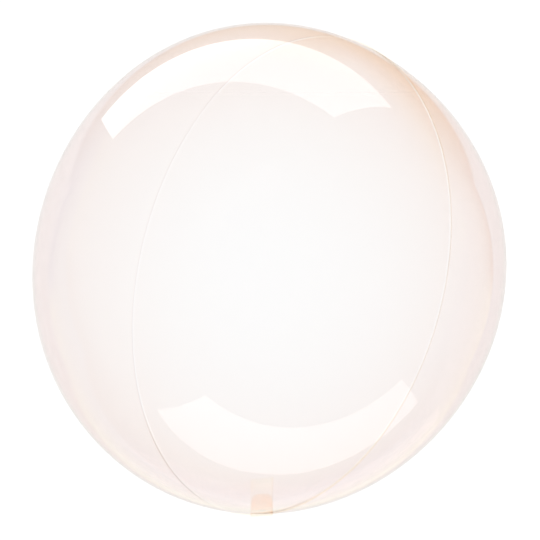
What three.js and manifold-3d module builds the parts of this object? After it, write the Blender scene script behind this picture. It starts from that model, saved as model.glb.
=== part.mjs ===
// Clear bubble balloon: a see-through ball of stretched film that lies on a small flat spot.
// Two round film panels are welded together along one great circle and blown up. The weld leaves
// a narrow lip all the way round, and the flat mouth of the valve comes out through a gap in it.
// Millimetres, +Z up. The origin is on the flat spot, straight below the balloon's centre.

import * as THREE from 'three';
import * as BufferGeometryUtils from 'three/addons/utils/BufferGeometryUtils.js';
import Module from 'manifold-3d';

const wasm = await Module();
wasm.setup();

// ---- Driving dimensions ----------------------------------------------------------------------
const SEAM_DIAMETER = 500;          // across the weld circle, where the balloon is widest
const POLE_TO_POLE = 467;           // through the middles of the two panels
const CENTRE_HEIGHT = 246.9;        // centre above the floor, about 2 mm less than the free radius

const SEAM_AXIS_TURN = 216.65;      // degrees from +X to the axis that joins the two poles
const SEAM_AXIS_RISE = 17.3;        // degrees that this axis rises above the floor

const LIP_WIDTH = 1.5;              // how far the weld lip stands out of the film
const LIP_THICKNESS = 0.8;

const VALVE_TURN = -69.4;           // degrees along the seam, from level down to the valve
const VALVE_WIDTH = 34;
const VALVE_THICKNESS = 0.9;
const VALVE_REACH = 2.2;            // how far the valve's mouth stands out of the film
const VALVE_CORNER = 1.0;
const CLEARANCE = 0.3;              // between the valve's mouth and the film and lip round it

// Stretched film is never quite round: this many shallow lobes, each so deep for its radius,
// with one crest at this many degrees round the level line of sight.
const LOBES = [
  { count: 3, depth: 0.0072, crest: -6 },
  { count: 4, depth: 0.0033, crest: 7 },
];
const LOBE_AXIS_TILT = 10;          // degrees that the lobes' axis, from the front, rises

const FACETS_ROUND = 80;
const FACETS_PER_PANEL = 20;

// ---- Directions ------------------------------------------------------------------------------
const radians = THREE.MathUtils.degToRad;
const seamRadius = SEAM_DIAMETER / 2;
const poleHeight = POLE_TO_POLE / 2;
const centre = new THREE.Vector3(0, 0, CENTRE_HEIGHT);

// The seam's own frame: two directions in its plane, the first of them level, and its axis.
const seamAxis = new THREE.Vector3(
  Math.cos(radians(SEAM_AXIS_RISE)) * Math.cos(radians(SEAM_AXIS_TURN)),
  Math.cos(radians(SEAM_AXIS_RISE)) * Math.sin(radians(SEAM_AXIS_TURN)),
  Math.sin(radians(SEAM_AXIS_RISE)),
);
const seamLevel = new THREE.Vector3(0, 0, 1).cross(seamAxis).normalize();
const seamUp = new THREE.Vector3().crossVectors(seamAxis, seamLevel);
const seamFrame = new THREE.Matrix4().makeBasis(seamLevel, seamUp, seamAxis);

const lobeRight = new THREE.Vector3(1, 0, 0);
const lobeUp = new THREE.Vector3(0, Math.sin(radians(LOBE_AXIS_TILT)), Math.cos(radians(LOBE_AXIS_TILT)));

// How much larger than the plain spheroid the film is in one direction from the centre.
function outOfRound(direction) {
  const right = direction.dot(lobeRight);
  const up = direction.dot(lobeUp);
  const side = Math.hypot(right, up);
  const turn = Math.atan2(up, right);
  return LOBES.reduce(
    (factor, { count, depth, crest }) =>
      factor + depth * side ** count * Math.cos(count * (turn - radians(crest))),
    1,
  );
}

// ---- Solids ----------------------------------------------------------------------------------
function toSolid(geometry) {
  const bare = geometry.clone();
  bare.deleteAttribute('normal');
  bare.deleteAttribute('uv');
  const merged = BufferGeometryUtils.mergeVertices(bare, 1e-4);
  return new wasm.Manifold(new wasm.Mesh({
    numProp: 3,
    vertProperties: new Float32Array(merged.attributes.position.array),
    triVerts: new Uint32Array(merged.index.array),
  }));
}

function toGeometry(solid) {
  const mesh = solid.getMesh();
  const geometry = new THREE.BufferGeometry();
  geometry.setAttribute('position', new THREE.BufferAttribute(mesh.vertProperties, 3));
  geometry.setIndex(new THREE.BufferAttribute(mesh.triVerts, 1));
  geometry.computeVertexNormals();
  return geometry;
}

// The profile runs from the lower pole, over the weld lip, to the upper pole, beside the axis.
function envelopeProfile() {
  const lipLatitude = Math.asin(LIP_THICKNESS / 2 / poleHeight);
  const panel = [];
  for (let step = 0; step <= FACETS_PER_PANEL; step += 1) {
    const latitude = lipLatitude + (Math.PI / 2 - lipLatitude) * (step / FACETS_PER_PANEL);
    panel.push(new THREE.Vector2(seamRadius * Math.cos(latitude), poleHeight * Math.sin(latitude)));
  }
  panel[FACETS_PER_PANEL].x = 0;
  const lipEdge = new THREE.Vector2(seamRadius + LIP_WIDTH, LIP_THICKNESS / 2);
  const upper = [lipEdge, ...panel];
  const lower = upper.map((point) => new THREE.Vector2(point.x, -point.y)).reverse();
  return [...lower, ...upper];
}

// Turns a shape from the seam's frame to the balloon's place, and stretches it out of round.
function placeFilm(geometry) {
  geometry.applyMatrix4(seamFrame);
  const position = geometry.attributes.position;
  const point = new THREE.Vector3();
  for (let index = 0; index < position.count; index += 1) {
    point.fromBufferAttribute(position, index);
    const factor = outOfRound(point.clone().normalize());
    point.multiplyScalar(factor).add(centre);
    position.setXYZ(index, point.x, point.y, point.z);
  }
  return geometry;
}

// The valve's frame: across the valve, along the seam's axis, and straight out of the film.
const valveOut = new THREE.Vector3()
  .addScaledVector(seamLevel, Math.cos(radians(VALVE_TURN)))
  .addScaledVector(seamUp, Math.sin(radians(VALVE_TURN)));
const valveAcross = new THREE.Vector3().crossVectors(valveOut, seamAxis);
const valveFilmRadius = seamRadius * outOfRound(valveOut);
const valveFoot = centre.clone().addScaledVector(valveOut, valveFilmRadius);
const valveFrame = new THREE.Matrix4()
  .makeBasis(valveAcross, valveOut, seamAxis)
  .setPosition(valveFoot);

// The gap in the weld lip that the valve's mouth comes out through.
function lipGap() {
  const gapWidth = VALVE_WIDTH + 2 * CLEARANCE;
  const gapHeight = 3 * LIP_WIDTH;
  const skin = 0.02;
  const gap = new THREE.BoxGeometry(gapWidth, gapHeight, 3 * LIP_THICKNESS);
  gap.translate(0, gapHeight / 2 + skin, 0);
  return gap.applyMatrix4(valveFrame);
}

// Everything below the floor, which presses the lowest film flat.
function floorBlock() {
  const block = new THREE.BoxGeometry(2 * SEAM_DIAMETER, 2 * SEAM_DIAMETER, seamRadius);
  return block.translate(0, 0, -seamRadius / 2);
}

function filmEnvelope() {
  const spun = new THREE.LatheGeometry(envelopeProfile(), FACETS_ROUND);
  spun.rotateX(Math.PI / 2);
  const ball = toSolid(placeFilm(spun));
  return toGeometry(ball.subtract(toSolid(floorBlock())).subtract(toSolid(lipGap())));
}

// The flat mouth of the valve, with its two outer corners rounded.
function valveMouth() {
  const half = VALVE_WIDTH / 2;
  const inner = CLEARANCE;
  const outer = VALVE_REACH;
  const outline = new THREE.Shape();
  outline.moveTo(-half, inner);
  outline.lineTo(half, inner);
  outline.lineTo(half, outer - VALVE_CORNER);
  outline.absarc(half - VALVE_CORNER, outer - VALVE_CORNER, VALVE_CORNER, 0, Math.PI / 2, false);
  outline.lineTo(-half + VALVE_CORNER, outer);
  outline.absarc(-half + VALVE_CORNER, outer - VALVE_CORNER, VALVE_CORNER, Math.PI / 2, Math.PI, false);
  outline.closePath();
  const slab = new THREE.ExtrudeGeometry(outline, {
    depth: VALVE_THICKNESS,
    bevelEnabled: false,
    curveSegments: 6,
  });
  slab.translate(0, 0, -VALVE_THICKNESS / 2);
  return toGeometry(toSolid(slab.applyMatrix4(valveFrame)));
}

// ---- The balloon -----------------------------------------------------------------------------
function clearFilm(colour, opacity) {
  return new THREE.MeshStandardMaterial({
    color: colour,
    roughness: 0.04,
    metalness: 0,
    transparent: true,
    opacity,
  });
}

function subPart(name, geometry, material) {
  const mesh = new THREE.Mesh(geometry, material);
  mesh.name = name;
  return mesh;
}

const balloon = new THREE.Group();
balloon.name = 'clear_bubble_balloon';
balloon.add(subPart('film_envelope', filmEnvelope(), clearFilm(0xfbe9de, 0.2)));
balloon.add(subPart('valve_insert', valveMouth(), clearFilm(0xf5a36a, 0.6)));

export default balloon;
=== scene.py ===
# %% [markdown]
# # A clear bubble balloon
#
# This kind of balloon isn't rubber. Two round panels of clear, faintly orange film are laid on
# each other, heat-welded round their edge with a flat valve between them, and then stretched by
# air until the two discs have become one glossy ball. We see it by its rim, by what it mirrors,
# and by the thin line of its weld.
#
# The frame comes first. It holds the solid ball and the valve's mouth, at their real size, and
# everything below fits them. Lengths are in metres.

import math

import bpy
from mathutils import Matrix, Vector


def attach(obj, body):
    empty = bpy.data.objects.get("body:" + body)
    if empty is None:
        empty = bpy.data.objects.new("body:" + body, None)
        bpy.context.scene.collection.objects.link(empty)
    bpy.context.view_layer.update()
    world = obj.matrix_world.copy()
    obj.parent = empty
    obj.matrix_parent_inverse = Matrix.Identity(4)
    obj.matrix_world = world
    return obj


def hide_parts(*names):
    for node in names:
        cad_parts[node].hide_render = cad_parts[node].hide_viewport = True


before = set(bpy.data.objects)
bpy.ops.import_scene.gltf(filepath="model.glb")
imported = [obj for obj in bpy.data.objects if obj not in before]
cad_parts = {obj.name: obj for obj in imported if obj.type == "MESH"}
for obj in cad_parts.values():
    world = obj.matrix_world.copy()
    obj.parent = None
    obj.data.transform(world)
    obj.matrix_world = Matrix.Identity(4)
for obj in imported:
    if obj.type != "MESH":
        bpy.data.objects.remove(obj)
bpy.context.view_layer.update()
scene = bpy.context.scene

# %% [markdown]
# ## One wire, and one way to add a node
#
# Shapes and finishes below are both written as sums. A node's output is wrapped in a small class
# whose plus and times signs add Math nodes, so `1 - mask * 0.3` in Python is the same in the
# tree. Every other node comes from one method, which takes its kind, its settings and its inputs.
# A mask is nearly always a straight ramp between two values, so the wire has a word for that.

# %% Wires that can be added and multiplied
class Wire:
    """A node's output, which takes part in sums as a number does."""

    def __init__(self, tree, socket):
        self.tree = tree
        self.socket = socket

    def __add__(self, other):
        return self.tree.maths("ADD", self, other)

    def __radd__(self, other):
        return self.tree.maths("ADD", other, self)

    def __sub__(self, other):
        return self.tree.maths("SUBTRACT", self, other)

    def __rsub__(self, other):
        return self.tree.maths("SUBTRACT", other, self)

    def __mul__(self, other):
        return self.tree.maths("MULTIPLY", self, other)

    def __truediv__(self, other):
        return self.tree.maths("DIVIDE", self, other)

    def __pow__(self, other):
        return self.tree.maths("POWER", self, other)

    def clamped(self):
        return self.tree.node("ShaderNodeClamp", {}, (self,))

    def ramp(self, zero_at, one_at):
        """0 at the first value, 1 at the second, straight in between and level beyond."""
        return ((self - zero_at) / (one_at - zero_at)).clamped()


class Tree:
    """A node tree to which nodes are added with their settings and inputs in one go."""

    def __init__(self, tree):
        self.tree = tree

    def node(self, kind, settings=None, inputs=(), output=0):
        made = self.tree.nodes.new(kind)
        for name, value in (settings or {}).items():
            setattr(made, name, value)
        named = inputs if isinstance(inputs, dict) else dict(enumerate(inputs))
        for name, value in named.items():
            if isinstance(value, Wire):
                self.tree.links.new(value.socket, made.inputs[name])
            else:
                made.inputs[name].default_value = value
        return Wire(self, made.outputs[output]) if made.outputs else None

    def maths(self, operation, *values):
        return self.node("ShaderNodeMath", {"operation": operation}, values)

    def vectors(self, operation, *values, output=0):
        return self.node("ShaderNodeVectorMath", {"operation": operation}, values, output)

    def dot(self, first, second):
        return self.vectors("DOT_PRODUCT", first, second, output="Value")

    def scaled(self, vector, factor):
        inputs = {0: vector, "Scale": factor}
        return self.node("ShaderNodeVectorMath", {"operation": "SCALE"}, inputs)

    def parts(self, vector):
        """The x, y and z of a vector, as three wires."""
        outputs = self.node("ShaderNodeSeparateXYZ", {}, (vector,)).socket.node.outputs
        return [Wire(self, outputs[name]) for name in "XYZ"]

    def mixed(self, factor, first, second):
        """Mixes two colours."""
        settings = {"data_type": "RGBA"}
        return self.node("ShaderNodeMix", settings, {0: factor, 6: first, 7: second}, output=2)

    def mixed_shaders(self, factor, first, second):
        return self.node("ShaderNodeMixShader", {}, (factor, first, second))


# %% [markdown]
# ## The ball's measures
#
# The stretched panels are a little flatter than half balls, so the balloon is a spheroid: 500 mm
# across the weld and 467 mm from pole to pole. It lies aslant, with the axis through its poles
# pointing left, forwards and a little up. No film stretches quite evenly, so a few shallow lobes
# take it out of round. They are a sum of cosines, and the film and the valve's foot both go
# through the same sum, so they always meet.

# %% Measures and directions
SEAM_RADIUS = 0.250
POLE_HEIGHT = 0.2335
CENTRE = Vector((0, 0, 0.2469))

SEAM_TURN = math.radians(216.65)
SEAM_RISE = math.radians(17.3)
SEAM_AXIS = Vector((
    math.cos(SEAM_RISE) * math.cos(SEAM_TURN),
    math.cos(SEAM_RISE) * math.sin(SEAM_TURN),
    math.sin(SEAM_RISE),
))
SEAM_LEVEL = Vector((0, 0, 1)).cross(SEAM_AXIS).normalized()
SEAM_UP = SEAM_AXIS.cross(SEAM_LEVEL)

VIEW_RISE = math.radians(10)
LOBE_RIGHT = Vector((1, 0, 0))
LOBE_UP = Vector((0, math.sin(VIEW_RISE), math.cos(VIEW_RISE)))
LOBES = (
    (3, 0.0072, math.radians(-6)),
    (4, 0.0033, math.radians(7)),
)

FILM = 0.0002
LIP_WIDTH = 0.0015
VALVE_TURN = math.radians(-69.4)
VALVE_WIDTH = 0.034
VALVE_THICKNESS = 0.0009
VALVE_REACH = 0.0022


def out_of_round(direction):
    """How much larger than the plain spheroid the film is in one direction."""
    right = direction.dot(LOBE_RIGHT)
    up = direction.dot(LOBE_UP)
    side = math.hypot(right, up)
    turn = math.atan2(up, right)
    factor = 1
    for count, depth, crest in LOBES:
        factor += depth * side**count * math.cos(count * (turn - crest))
    return factor


VALVE_OUT = SEAM_LEVEL * math.cos(VALVE_TURN) + SEAM_UP * math.sin(VALVE_TURN)
VALVE_ACROSS = VALVE_OUT.cross(SEAM_AXIS)
VALVE_FOOT = CENTRE + VALVE_OUT * SEAM_RADIUS * out_of_round(VALVE_OUT)
print("valve's foot, mm:", [round(1000 * number, 1) for number in VALVE_FOOT])

# %% [markdown]
# ## Putting the film in the ball's place
#
# A panel is first laid out in the seam's own frame, where its two flat directions and its axis
# are simple. The first two helpers then turn it to its place in the room, with the same lobe sum
# as above, written with wires. The third presses the lowest film flat, because a real balloon
# sinks onto a small flat spot and doesn't roll. Its square root makes the change a soft one.

# %% Place helpers
FLAT_SPOT_BLEND = 0.0012


def film_factor(tree, direction):
    right = tree.dot(direction, LOBE_RIGHT)
    up = tree.dot(direction, LOBE_UP)
    side = (right * right + up * up) ** 0.5
    turn = tree.maths("ARCTAN2", up, right)
    factor = 1.0
    for count, depth, crest in LOBES:
        wave = tree.maths("COSINE", (turn - crest) * count)
        factor = factor + wave * side**count * depth
    return factor


def in_room(tree, level, up, axis):
    """The place in the room of a point of the film, given in the seam's frame."""
    in_plane = tree.vectors("ADD", tree.scaled(SEAM_LEVEL, level), tree.scaled(SEAM_UP, up))
    arm = tree.vectors("ADD", in_plane, tree.scaled(SEAM_AXIS, axis))
    direction = tree.vectors("NORMALIZE", arm)
    stretched = tree.scaled(arm, film_factor(tree, direction))
    return tree.vectors("ADD", stretched, CENTRE)


def pressed_flat(tree, place):
    x, y, height = tree.parts(place)
    lifted = (height + (height * height + FLAT_SPOT_BLEND**2) ** 0.5) * 0.5
    return tree.node("ShaderNodeCombineXYZ", {}, (x, y, lifted))


# %% [markdown]
# ## Growing a piece from a tree
#
# Each tree has a named input for every size, and ends in Realize Instances and Set Material. The
# tree runs as a modifier on an empty carrier. A modifier knows its inputs by identifiers and not
# by names, so those are looked up. A Solidify modifier then gives the film its wall, on the inner
# side, and the result is copied out as a plain mesh.

# %% Tree helpers
JOIN_DISTANCE = 2e-6


def shape_tree(name, sizes):
    """A Geometry Nodes tree with a named input for each size, and those inputs as wires."""
    made = bpy.data.node_groups.new(name, "GeometryNodeTree")
    for size_name, value in sizes.items():
        kind = "NodeSocketInt" if isinstance(value, int) else "NodeSocketFloat"
        made.interface.new_socket(size_name, in_out="INPUT", socket_type=kind)
    made.interface.new_socket("Geometry", in_out="OUTPUT", socket_type="NodeSocketGeometry")
    tree = Tree(made)
    entry = made.nodes.new("NodeGroupInput")
    wires = {size_name: Wire(tree, entry.outputs[size_name]) for size_name in sizes}
    return tree, wires


def unit_grid(tree, columns, rows):
    """A flat grid, and how far along its two sides each of its points is, from 0 to 1."""
    grid = tree.node("GeometryNodeMeshGrid", {}, {
        "Size X": 1.0,
        "Size Y": 1.0,
        "Vertices X": columns,
        "Vertices Y": rows,
    })
    x, y, _ = tree.parts(tree.node("GeometryNodeInputPosition"))
    return grid, x + 0.5, y + 0.5


def finish_tree(tree, grid, place, material):
    """Moves the grid's points, joins doubled ones, smooths the shading, and ends the tree."""
    shaped = tree.node("GeometryNodeSetPosition", {}, {"Geometry": grid, "Position": place})
    joined = tree.node("GeometryNodeMergeByDistance", {}, {
        "Geometry": shaped,
        "Distance": JOIN_DISTANCE,
    })
    smooth = tree.node("GeometryNodeSetShadeSmooth", {}, (joined,))
    real = tree.node("GeometryNodeRealizeInstances", {}, (smooth,))
    made = tree.node("GeometryNodeSetMaterial", {}, {"Geometry": real, "Material": material})
    exit_node = tree.tree.nodes.new("NodeGroupOutput")
    tree.tree.links.new(made.socket, exit_node.inputs[0])


def grow(name, tree, sizes):
    """Runs a tree with these sizes, gives the result its wall, and returns the piece."""
    carrier = bpy.data.objects.new(name + "_carrier", bpy.data.meshes.new(name + "_carrier"))
    scene.collection.objects.link(carrier)
    modifier = carrier.modifiers.new("Shape", "NODES")
    modifier.node_group = tree.tree
    for item in tree.tree.interface.items_tree:
        if item.in_out == "INPUT":
            modifier[item.identifier] = sizes[item.name]
    solidify = carrier.modifiers.new("Wall", "SOLIDIFY")
    solidify.thickness = FILM
    solidify.offset = -1
    seen = carrier.evaluated_get(bpy.context.evaluated_depsgraph_get())
    mesh = bpy.data.meshes.new_from_object(seen)
    mesh.name = name
    bpy.data.objects.remove(carrier)
    piece = bpy.data.objects.new(name, mesh)
    scene.collection.objects.link(piece)
    print(name, len(mesh.polygons), "faces")
    return piece


# %% [markdown]
# ## What all the film's finishes share
#
# Clear film is two things at once. Most light goes straight through it and comes out faintly
# orange. The rest is mirrored: a twenty-fifth face on, and nearly all of it at a grazing angle,
# which is why a bubble shows by its rim. A Glass shader would bend the light and throw a dark
# shadow, as a solid ball does. A film this thin doesn't bend light, so Transparent shaders mixed
# with a Glossy one are truer and quicker. Layer Weight's Facing grows from 0 face on to 1 edge
# on, for either side of a surface, and Schlick's rule turns it into the share that is mirrored.
# The film has an outer and an inner face, so each wall tints and mirrors twice.

# %% Shaders that all the film shares
FACE_ON_MIRROR = 0.04
WHITE = (1, 1, 1, 1)


def seen_edge_on(tree):
    return tree.node("ShaderNodeLayerWeight", {}, {"Blend": 0.5}, output="Facing")


def mirrored_share(tree):
    return seen_edge_on(tree) ** 5 * (1 - FACE_ON_MIRROR) + FACE_ON_MIRROR


def light_through(tree, tint):
    return tree.node("ShaderNodeBsdfTransparent", {}, {"Color": (*tint, 1)})


def tinted_mix(tree, factor, first_tint, second_tint):
    return tree.mixed_shaders(factor, light_through(tree, first_tint), light_through(tree, second_tint))


def with_mirror(tree, through, share, roughness, normal):
    mirror = tree.node("ShaderNodeBsdfGlossy", {}, {
        "Color": WHITE,
        "Roughness": roughness,
        "Normal": normal,
    })
    return tree.mixed_shaders(share, through, mirror)


def bump_from(tree, height, strength, distance):
    return tree.node("ShaderNodeBump", {}, {
        "Strength": strength,
        "Distance": distance,
        "Height": height,
    })


def new_material(name):
    material = bpy.data.materials.new(name)
    material.use_nodes = True
    material.node_tree.nodes.clear()
    return material, Tree(material.node_tree)


def end_material(tree, shader):
    tree.node("ShaderNodeOutputMaterial", {}, {"Surface": shader})


# %% [markdown]
# ## The film's own finish
#
# Light that crosses film slantwise goes through more of it, so its colour deepens from the middle
# to the rim. Beside the weld the film is stretched less, so it is thicker and more orange, in a
# wide halo. High on the right, beside the weld, the tint is deepest of all: that is painted shade,
# for the dark warm room that the rim mirrors there.
#
# The weld itself is a thin line. In front it is orange near the top and the foot, and paler in
# between. There it is lighter than the film beside it: its orange is the weld's own, and its
# lightness is a painted glint on the weld's fin. At the back it hardly shows, but for its lowest
# part, where we see it nearly edge on. The weld takes no share of the mirror, so it shows the
# bright distance through it, which is part of the same painted glint. All of these are masks made
# from distances, such as the distance from the seam's plane, and they only steer Mix Shaders. A
# very faint bump keeps the reflections from being too perfect.

# %% Film material
FACE_ON_TINT = (0.984, 0.985, 0.983)
SLANTWISE_TINT = (0.941, 0.926, 0.943)
SEAM_TINT = (0.941, 0.883, 0.868)
# Painted shade: the deepest orange, high on the right beside the weld.
HIGH_RIGHT_SHADE_TINT = (0.925, 0.820, 0.745)
CLEAR_WELD_TINT = (0.988, 0.981, 0.980)
# The front weld's orange, lighter than the film: its own tint with a painted glint.
WELD_TINT_AND_GLINT = (0.996, 0.984, 0.965)
LOW_WELD_TINT = (0.968, 0.938, 0.915)
HALO_REACH = 0.33
HIGH_RIGHT_SHADE_REACH = 0.06
WELD_CORE = 0.0005
WELD_EDGE = 0.0015
WELD_SOFTNESS = 0.0010
DEEPEST = Vector((0.50, -0.10, 0.85)).normalized()
TOWARDS_DEEPEST = (0.70, 0.95)
TOWARDS_FRONT = (-0.075, 0.175)
TOWARDS_TOP_OR_FOOT = (-0.08, 0.32)
TOWARDS_FOOT = (-0.75, -0.9167)
FILM_ROUGHNESS = 0.03


def weld_through(tree, arm, place):
    """The weld's see-through part. A place on the seam is given in shares of its radius."""
    forward = tree.dot(arm, SEAM_LEVEL) / SEAM_RADIUS
    up = tree.dot(arm, SEAM_UP) / SEAM_RADIUS
    off_valve = tree.vectors("DISTANCE", place, VALVE_FOOT, output="Value")
    beside_valve = off_valve.ramp(VALVE_WIDTH / 2, VALVE_WIDTH / 2 + WELD_SOFTNESS)
    top_or_foot = (up * up).ramp(*TOWARDS_TOP_OR_FOOT)
    # Where the front weld shows its orange with a painted glint: near the top and the foot.
    front_weld_glint = forward.ramp(*TOWARDS_FRONT) * beside_valve * top_or_foot
    low_behind = up.ramp(*TOWARDS_FOOT) * (1 - front_weld_glint)
    weld = tinted_mix(tree, front_weld_glint, CLEAR_WELD_TINT, WELD_TINT_AND_GLINT)
    return tree.mixed_shaders(low_behind, weld, light_through(tree, LOW_WELD_TINT))


def film_material():
    material, tree = new_material("clear_orange_film")
    place = tree.node("ShaderNodeTexCoord", {}, (), output="Object")
    arm = tree.vectors("SUBTRACT", place, CENTRE)
    off_seam = tree.maths("ABSOLUTE", tree.dot(arm, SEAM_AXIS))
    halo = off_seam.ramp(HALO_REACH, 0)
    high_right = (tree.dot(arm, DEEPEST) / SEAM_RADIUS).ramp(*TOWARDS_DEEPEST)
    # Painted shade: a deeper orange high on the right beside the weld.
    high_right_shade = off_seam.ramp(HIGH_RIGHT_SHADE_REACH, 0) * high_right
    on_weld = off_seam.ramp(WELD_EDGE, WELD_CORE)
    slantwise = tinted_mix(tree, halo, SLANTWISE_TINT, SEAM_TINT)
    slantwise = tree.mixed_shaders(high_right_shade, slantwise, light_through(tree, HIGH_RIGHT_SHADE_TINT))
    face_on = light_through(tree, FACE_ON_TINT)
    through = tree.mixed_shaders(seen_edge_on(tree), face_on, slantwise)
    through = tree.mixed_shaders(on_weld, through, weld_through(tree, arm, place))
    ripple = tree.node("ShaderNodeTexNoise", {}, {"Vector": place, "Scale": 5.0, "Detail": 1.0})
    bump = bump_from(tree, ripple, strength=0.1, distance=0.002)
    # The weld gets no mirror, so it shows the bright distance through it: part of the painted glint.
    share = mirrored_share(tree) * (1 - on_weld)
    end_material(tree, with_mirror(tree, through, share, FILM_ROUGHNESS, bump))
    return material


film = film_material()

# %% [markdown]
# ## Two panels, by Geometry Nodes
#
# A panel's shape follows a rule, so it is grown by a tree: a flat grid is rolled up, with its
# long side once round the seam and its short side from the lip's edge, across the weld, and up
# over the dome to the pole. A power packs the rows towards the weld, where the film turns.
# The second panel is the first one turned half round, so one tree makes both. Where the valve
# passes between them, the lip narrows to almost nothing and the two films part by half the
# valve's thickness each.

# %% The panels' tree
PANEL_SIZES = {
    "Side": 1.0,
    "Weld Radius": SEAM_RADIUS,
    "Pole Height": POLE_HEIGHT,
    "Lip Width": LIP_WIDTH,
    "Turns": 288,
    "Rows": 96,
    "Lip Rows": 4,
}
ROW_PACKING = 1.15
GAP_EDGE = 0.0012
GAP_NARROWING = 0.97
PARTING_FADE = 12


def valve_gap(tree, turn, radius):
    """1 where the valve passes between the panels, and 0 elsewhere round the seam."""
    angle = tree.maths("ARCCOSINE", tree.maths("COSINE", turn - VALVE_TURN))
    return (angle * radius).ramp(VALVE_WIDTH / 2 + GAP_EDGE, VALVE_WIDTH / 2)


def panel_tree():
    tree, size = shape_tree("film panel", PANEL_SIZES)
    grid, along, across = unit_grid(tree, size["Turns"], size["Rows"])
    turn = along * (2 * math.pi) * size["Side"]
    row = across * (size["Rows"] - 1)
    on_lip = (row / size["Lip Rows"]).clamped()
    up_dome = ((row - size["Lip Rows"]) / (size["Rows"] - 1 - size["Lip Rows"])).clamped()
    latitude = up_dome**ROW_PACKING * (math.pi / 2)
    gap = valve_gap(tree, turn, size["Weld Radius"])
    lip = (1 - on_lip) * size["Lip Width"] * (1 - gap * GAP_NARROWING)
    radius = tree.maths("COSINE", latitude) * size["Weld Radius"] + lip
    parting = gap * (1 - up_dome) ** PARTING_FADE * (VALVE_THICKNESS / 2) + FILM
    height = tree.maths("SINE", latitude) * size["Pole Height"] + parting
    level = radius * tree.maths("COSINE", turn)
    up = radius * tree.maths("SINE", turn)
    place = pressed_flat(tree, in_room(tree, level, up, height * size["Side"]))
    finish_tree(tree, grid, place, film)
    return tree


def outward_share(piece):
    """The share of a piece's faces that point away from the ball's centre."""
    faces = piece.data.polygons
    away = [(face.center - CENTRE).dot(face.normal) > 0 for face in faces]
    return sum(away) / len(away)


film_tree = panel_tree()
near_panel = grow("film_panel_near", film_tree, PANEL_SIZES | {"Side": 1.0})
far_panel = grow("film_panel_far", film_tree, PANEL_SIZES | {"Side": -1.0})
for panel in (near_panel, far_panel):
    print(panel.name, "share of faces on its outer side:", round(outward_share(panel), 3))

# %% [markdown]
# ## The valve's finish
#
# The valve is a flat tube of two narrow films, welded along both edges. Its first stretch inside
# the balloon is dyed a deeper orange, in a patch with rounded corners, and what follows is clear.
# The dye is strongest just inside the weld and fades both inwards and at the mouth. A soft cloud
# of noise makes it uneven, and the same noise gives the thin film its slight wrinkles.

# %% Valve material
DYED_LENGTH = 0.0195
DYED_TINT = (1.0, 0.910, 0.820)
UNDYED_TINT = (0.998, 0.997, 0.988)
PATCH_EDGE = 1 / 6
DYE_AT_WELD = 1.2
DYE_LOST_INWARDS = 0.85
DYE_LOST_AT_MOUTH = 0.75
MOUTH_REACH = 0.001
EDGE_WELD = 0.0025
EDGE_WELD_SOFTNESS = 0.0004
EDGE_WELD_DYE = 0.1
CLOUD_LEAST = 0.55
CLOUD_SWING = 0.5
VALVE_ROUGHNESS = 0.08


def valve_material():
    material, tree = new_material("orange_valve_film")
    place = tree.node("ShaderNodeTexCoord", {}, (), output="Object")
    arm = tree.vectors("SUBTRACT", place, VALVE_FOOT)
    inward = tree.dot(arm, VALVE_OUT) * -1
    across = tree.dot(arm, VALVE_ACROSS)
    far_in = inward / DYED_LENGTH
    far_across = across / (VALVE_WIDTH / 2)
    to_corner = far_in**2 * far_in**2 + far_across**2 * far_across**2
    in_patch = to_corner.ramp(1, 1 - PATCH_EDGE)
    at_mouth = inward.ramp(MOUTH_REACH, 0)
    dye = in_patch * (DYE_AT_WELD - far_in * DYE_LOST_INWARDS) * (1 - at_mouth * DYE_LOST_AT_MOUTH)
    edge_start = VALVE_WIDTH / 2 - EDGE_WELD
    on_edge = tree.maths("ABSOLUTE", across).ramp(edge_start, edge_start + EDGE_WELD_SOFTNESS)
    cloud = tree.node("ShaderNodeTexNoise", {}, {"Vector": place, "Scale": 90.0, "Detail": 3.0})
    dyed_share = (dye * (CLOUD_LEAST + cloud * CLOUD_SWING) + on_edge * EDGE_WELD_DYE).clamped()
    through = tinted_mix(tree, dyed_share, UNDYED_TINT, DYED_TINT)
    bump = bump_from(tree, cloud, strength=0.3, distance=0.001)
    end_material(tree, with_mirror(tree, through, mirrored_share(tree), VALVE_ROUGHNESS, bump))
    return material


# %% [markdown]
# ## The valve's tube, by Geometry Nodes
#
# The tube's mouth shows outside the lip, and the rest runs straight in between the panels. Air
# pressure shuts it by pressing the two films together. A grid rolled round a flat section gives
# the tube, with its rows packed towards the mouth, and its wall makes it a true two-layer one.

# %% The valve's tree
VALVE_SIZES = {
    "Width": VALVE_WIDTH,
    "Thickness": VALVE_THICKNESS,
    "Reach": VALVE_REACH,
    "Length Inside": 0.034,
    "Around": 65,
    "Along": 61,
}
VALVE_PACKING = 1.4


def valve_tree():
    tree, size = shape_tree("valve tube", VALVE_SIZES)
    grid, round_tube, along = unit_grid(tree, size["Around"], size["Along"])
    turn = (round_tube - 0.5) * (2 * math.pi)
    inward = along**VALVE_PACKING * (size["Length Inside"] + size["Reach"]) - size["Reach"]
    across = tree.maths("SINE", turn) * size["Width"] / 2
    thickness = tree.maths("COSINE", turn) * size["Thickness"] / 2
    flat_part = tree.vectors("ADD", tree.scaled(VALVE_ACROSS, across), tree.scaled(-VALVE_OUT, inward))
    arm = tree.vectors("ADD", flat_part, tree.scaled(SEAM_AXIS, thickness))
    place = tree.vectors("ADD", arm, VALVE_FOOT)
    finish_tree(tree, grid, place, valve_material())
    return tree


valve = grow("valve_tube", valve_tree(), VALVE_SIZES)

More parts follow.
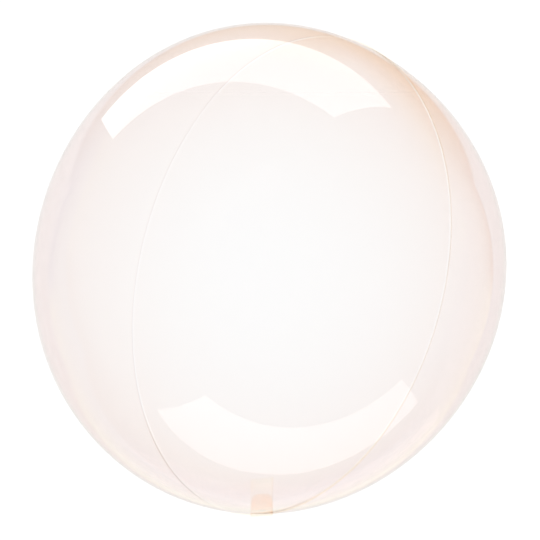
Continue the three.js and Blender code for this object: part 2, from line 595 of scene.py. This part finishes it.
# %% [markdown]
# ## Tying the pieces to the frame
#
# The balloon has no moving part, so everything rides on the one body. The two panels stand for
# the frame's solid ball, and the tube for the valve's mouth.
#
# Film this clear throws almost no shadow. Cycles would still darken the floor under it a little
# for each of its many see-through walls, and that grey would show through the balloon itself. So
# the panels are left out of shadows and of the floor's own soft light.

# %% Ride and replace
for panel in (near_panel, far_panel):
    panel.visible_shadow = False
    panel.visible_diffuse = False
    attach(panel, "root")
    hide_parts("film_envelope")
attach(valve, "root")
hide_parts("valve_insert")

# %% [markdown]
# ## The floor
#
# The balloon rests on a wide pale floor. The floor is left out of the reflections, because the
# room in the next step already holds what the film should mirror there. It lies a hair under the
# balloon, so that the two never share a plane.

# %% The floor
FLOOR_HALF = 60.0
FLOOR_DROP = 0.0003
FLOOR_WHITE = 0.80
CORNERS = ((-1, -1), (1, -1), (1, 1), (-1, 1))


def pale_floor():
    mesh = bpy.data.meshes.new("floor")
    corners = [(x * FLOOR_HALF, y * FLOOR_HALF, -FLOOR_DROP) for x, y in CORNERS]
    mesh.from_pydata(corners, [], [(0, 1, 2, 3)])
    material, tree = new_material("pale_floor")
    shade = (FLOOR_WHITE, FLOOR_WHITE, FLOOR_WHITE, 1)
    end_material(tree, tree.node("ShaderNodeBsdfDiffuse", {}, {"Color": shade}))
    mesh.materials.append(material)
    floor = bpy.data.objects.new("floor", mesh)
    floor.visible_glossy = False
    scene.collection.objects.link(floor)


pale_floor()

# %% [markdown]
# ## The room that the film mirrors
#
# A clear ball shows what is around it, so the room matters as much as the film. The eye sees a
# pale floor and a white distance. The film mirrors something else: a white backdrop ahead, a
# shade that fades away from its sides and its top, a cool cast on the floor before it, and a
# softer, warmer room all round. Light Path tells the kinds of ray apart. A Transparent shader
# doesn't count as a bounce, so what is seen through the film is the white distance.
#
# The backdrop is a rectangle ahead of the balloon. Dividing the ray's two other parts by the part
# that points ahead gives the place where the ray meets it, and four soft steps cut it out. The
# room's colours are sums: a middle, and what is added to it, or taken away, in each direction.

# %% The room
WHITE_SEEN = 1.08
BACKDROP_COLOUR = (1.045, 1.015, 0.985, 1)
BACKDROP_TOP = 0.34
BACKDROP_BOTTOM = 0.80
BACKDROP_RIGHT = 1.25
BACKDROP_LEFT = 1.30
EDGE_SOFTNESS = 0.08
BOTTOM_SOFTNESS = 0.15
ROOM_MIDDLE = Vector((1.04, 0.99, 0.905))
ROOM_RIGHTWARD = Vector((0.05, 0.01, -0.02))
ROOM_AHEAD = Vector((0.19, 0.19, 0.035))
ROOM_UPWARD = Vector((-0.06, -0.17, -0.23))
FLOOR_CAST = Vector((-0.10, -0.07, 0.10))
CAST_DOWNWARD = (-0.5, -0.9)
CAST_AHEAD = (0.1, 0.35)
SHADE = Vector((-0.26, -0.33, -0.22))
SHADE_TO_RIGHT = Vector((-0.02, -0.10, -0.18))
SHADE_FADE = 0.5
SHADE_AHEAD = (0, 0.05)
SHADE_BOTTOM = 0.3
SHADE_BOTTOM_SOFTNESS = 0.2
SHADE_SIDES = (-1.5, 1.5)
LEAST_AHEAD = 0.001


def within(value, limit, softness):
    """1 well below the limit and 0 well above it."""
    return value.ramp(limit + softness / 2, limit - softness / 2)


def beyond(tree, value, limit):
    """How far a value is past a limit."""
    return tree.maths("MAXIMUM", value - limit, 0)


def backdrop_mask(across, rise):
    top = within(rise, BACKDROP_TOP, EDGE_SOFTNESS)
    bottom = within(rise * -1, BACKDROP_BOTTOM, BOTTOM_SOFTNESS)
    right = within(across, BACKDROP_RIGHT, EDGE_SOFTNESS)
    left = within(across * -1, BACKDROP_LEFT, EDGE_SOFTNESS)
    return top * bottom * right * left


def shade_mask(tree, across, rise, y):
    """1 at the backdrop's edge, fading away from it, and only ahead and above the floor."""
    above = beyond(tree, rise, BACKDROP_TOP)
    right_of = beyond(tree, across, BACKDROP_RIGHT)
    left_of = beyond(tree, across * -1, BACKDROP_LEFT)
    off_edge = (above * above + right_of * right_of + left_of * left_of) ** 0.5
    fading = tree.maths("EXPONENT", off_edge * (-1 / SHADE_FADE))
    above_floor = within(rise * -1, SHADE_BOTTOM, SHADE_BOTTOM_SOFTNESS)
    return fading * y.ramp(*SHADE_AHEAD) * above_floor


def mirrored_room(tree):
    ray = tree.node("ShaderNodeTexCoord", {}, (), output="Generated")
    x, y, z = tree.parts(ray)
    ahead = tree.maths("MAXIMUM", y, LEAST_AHEAD)
    across = x / ahead
    rise = z / ahead
    shade = shade_mask(tree, across, rise, y)
    room = ROOM_MIDDLE
    for colour, strength in (
        (ROOM_RIGHTWARD, x),
        (ROOM_AHEAD, y),
        (ROOM_UPWARD, z),
        (FLOOR_CAST, z.ramp(*CAST_DOWNWARD) * y.ramp(*CAST_AHEAD)),
        (SHADE, shade),
        (SHADE_TO_RIGHT, shade * (across.ramp(*SHADE_SIDES) * 2 - 1)),
    ):
        room = tree.vectors("ADD", room, tree.scaled(colour, strength))
    return tree.mixed(backdrop_mask(across, rise), room, BACKDROP_COLOUR)


def studio_world():
    world = bpy.data.worlds.new("studio")
    world.use_nodes = True
    world.node_tree.nodes.clear()
    tree = Tree(world.node_tree)
    light_path = tree.tree.nodes.new("ShaderNodeLightPath").outputs
    mirrored = Wire(tree, light_path["Is Glossy Ray"])
    seen = Wire(tree, light_path["Is Camera Ray"])
    white = seen * WHITE_SEEN + (1 - seen) * (WHITE_SEEN / FLOOR_WHITE)
    distance = tree.node("ShaderNodeCombineColor", {}, (white, white, white))
    colour = tree.mixed(mirrored, distance, mirrored_room(tree))
    background = tree.node("ShaderNodeBackground", {}, {"Color": colour, "Strength": 1.0})
    tree.node("ShaderNodeOutputWorld", {}, {"Surface": background})
    scene.world = world


studio_world()

# %% [markdown]
# ## The softbox
#
# One long softbox, high up beyond the balloon, makes both bent highlights: the upper one on the
# outside of the film, and the lower one, upside down, on the inside of its far wall. It is a
# large Area light a long way off, so that it stands at the same angle from every point of the
# film. Its light is a touch cool. Only what mirrors it sees it, because the white distance
# already lights the floor.

# %% The softbox
LAMP_CENTRE = Vector((-8.11, 16.19, 24.81))
LAMP_LONG = Vector((0.893, -0.429, 0.137))
LAMP_SHORT = Vector((0.448, 0.809, -0.380))
LAMP_SIZE = (54.03, 18.03)
LAMP_RADIANCE = 1.25
LAMP_COLOUR = (0.96, 0.97, 1.0)


def softbox():
    lamp = bpy.data.lights.new("softbox", "AREA")
    lamp.shape = "RECTANGLE"
    lamp.color = LAMP_COLOUR
    lamp.size, lamp.size_y = LAMP_SIZE
    lamp.energy = LAMP_RADIANCE * math.pi * LAMP_SIZE[0] * LAMP_SIZE[1]
    holder = bpy.data.objects.new("softbox", lamp)
    long_side = LAMP_LONG.normalized()
    back = long_side.cross(LAMP_SHORT).normalized()
    short_side = back.cross(long_side)
    turn = Matrix((long_side, short_side, back)).transposed().to_4x4()
    holder.matrix_world = Matrix.Translation(LAMP_CENTRE) @ turn
    holder.visible_diffuse = False
    scene.collection.objects.link(holder)
    print("softbox, m:", LAMP_SIZE, "at", round(LAMP_CENTRE.length, 1), "m")


softbox()

# %% [markdown]
# ## The camera
#
# The camera stands a little over a metre off and looks down by ten degrees. That is close for a
# thing half a metre wide, and it shows in how the near half of the weld spreads. A ray crosses
# many see-through walls on its way through the ball and the valve, so it is allowed enough of
# them, and the Standard view keeps the near-whites clean.

# %% Camera and colours
CAMERA_DISTANCE = 1.085
FOCAL_LENGTH = 69.3
SENSOR_WIDTH = 36.0
AIM_RIGHT = 0.0055
AIM_DOWN = 0.0020


def camera():
    data = bpy.data.cameras.new("camera")
    data.lens = FOCAL_LENGTH
    data.sensor_width = SENSOR_WIDTH
    holder = bpy.data.objects.new("camera", data)
    back = Vector((0, -math.cos(VIEW_RISE), math.sin(VIEW_RISE)))
    holder.location = CENTRE + back * CAMERA_DISTANCE
    aim = CENTRE + LOBE_RIGHT * AIM_RIGHT - LOBE_UP * AIM_DOWN
    holder.rotation_euler = (aim - holder.location).to_track_quat("-Z", "Y").to_euler()
    scene.collection.objects.link(holder)
    scene.camera = holder


camera()
scene.view_settings.view_transform = "Standard"
scene.cycles.transparent_max_bounces = 32
